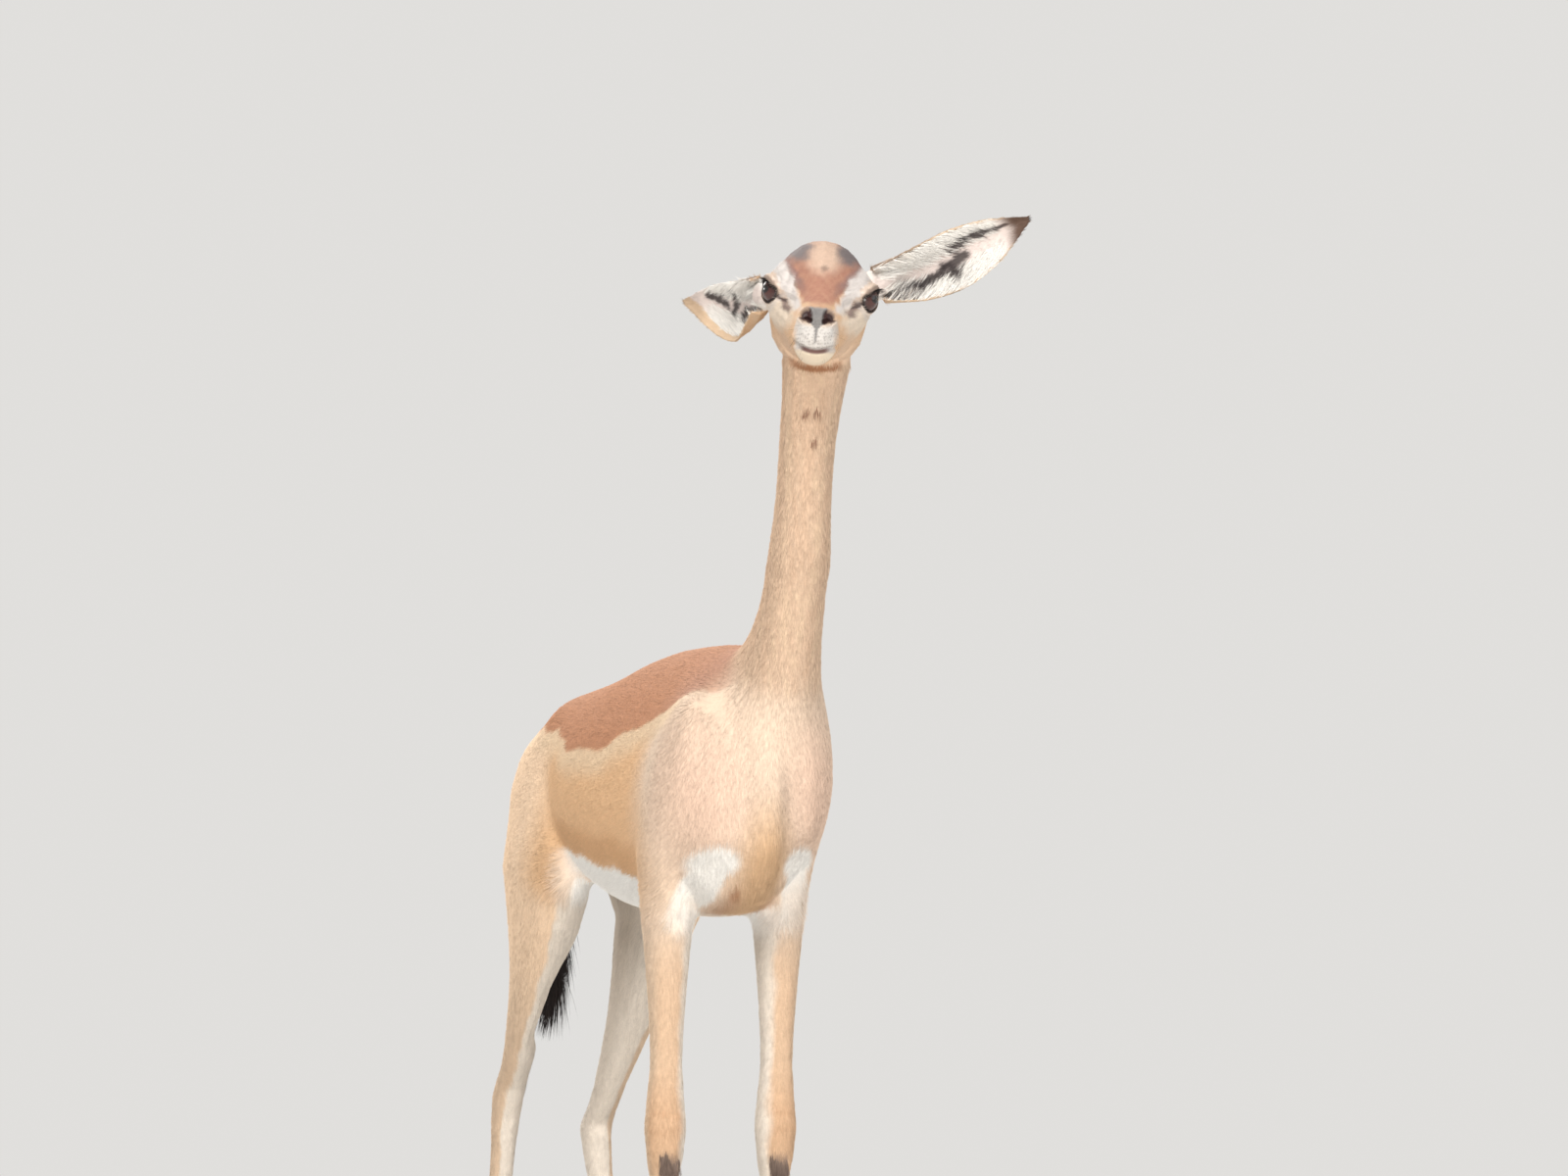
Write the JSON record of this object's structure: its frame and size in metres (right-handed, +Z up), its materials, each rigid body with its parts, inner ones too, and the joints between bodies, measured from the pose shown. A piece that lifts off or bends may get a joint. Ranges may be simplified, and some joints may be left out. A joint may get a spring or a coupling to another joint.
{
  "type": "gerenuk, standing life-size model",
  "caption": "Life-size still model of a standing female gerenuk, a slim long-necked antelope, with her head turned to the viewer and her ears spread.",
  "frame": {"origin": "the middle of the animal's bounding box, on the ground it stands on", "axes": "+Z up, -Y the way the animal's body faces, +X its left side"},
  "size_m": [0.3372, 0.903, 1.2227],
  "materials": {
    "coat": "short flat hair, tan with a reddish brown saddle and white underparts",
    "ear_coat": "thin ears, white haired inside with black streaks, tan behind",
    "tail_hair": "long coarse dark hair",
    "eye": "wet, glossy, nearly black brown",
    "horn": "dark hoof horn with a low sheen"
  },
  "bodies": {
    "root": {"torso": "coat", "neck": "coat", "head": "coat", "tail": "tail_hair", "foreleg_left_forearm": "coat", "foreleg_left_cannon": "coat", "hindleg_left_gaskin": "coat", "hindleg_left_cannon": "coat", "ear_left": "ear_coat", "eye_left": "eye", "hoof_front_left_outer": "horn", "hoof_front_left_inner": "horn", "hoof_rear_left_outer": "horn", "hoof_rear_left_inner": "horn", "foreleg_right_forearm": "coat", "foreleg_right_cannon": "coat", "hindleg_right_gaskin": "coat", "hindleg_right_cannon": "coat", "ear_right": "ear_coat", "eye_right": "eye", "hoof_front_right_outer": "horn", "hoof_front_right_inner": "horn", "hoof_rear_right_outer": "horn", "hoof_rear_right_inner": "horn"}
  },
  "joints": []
}
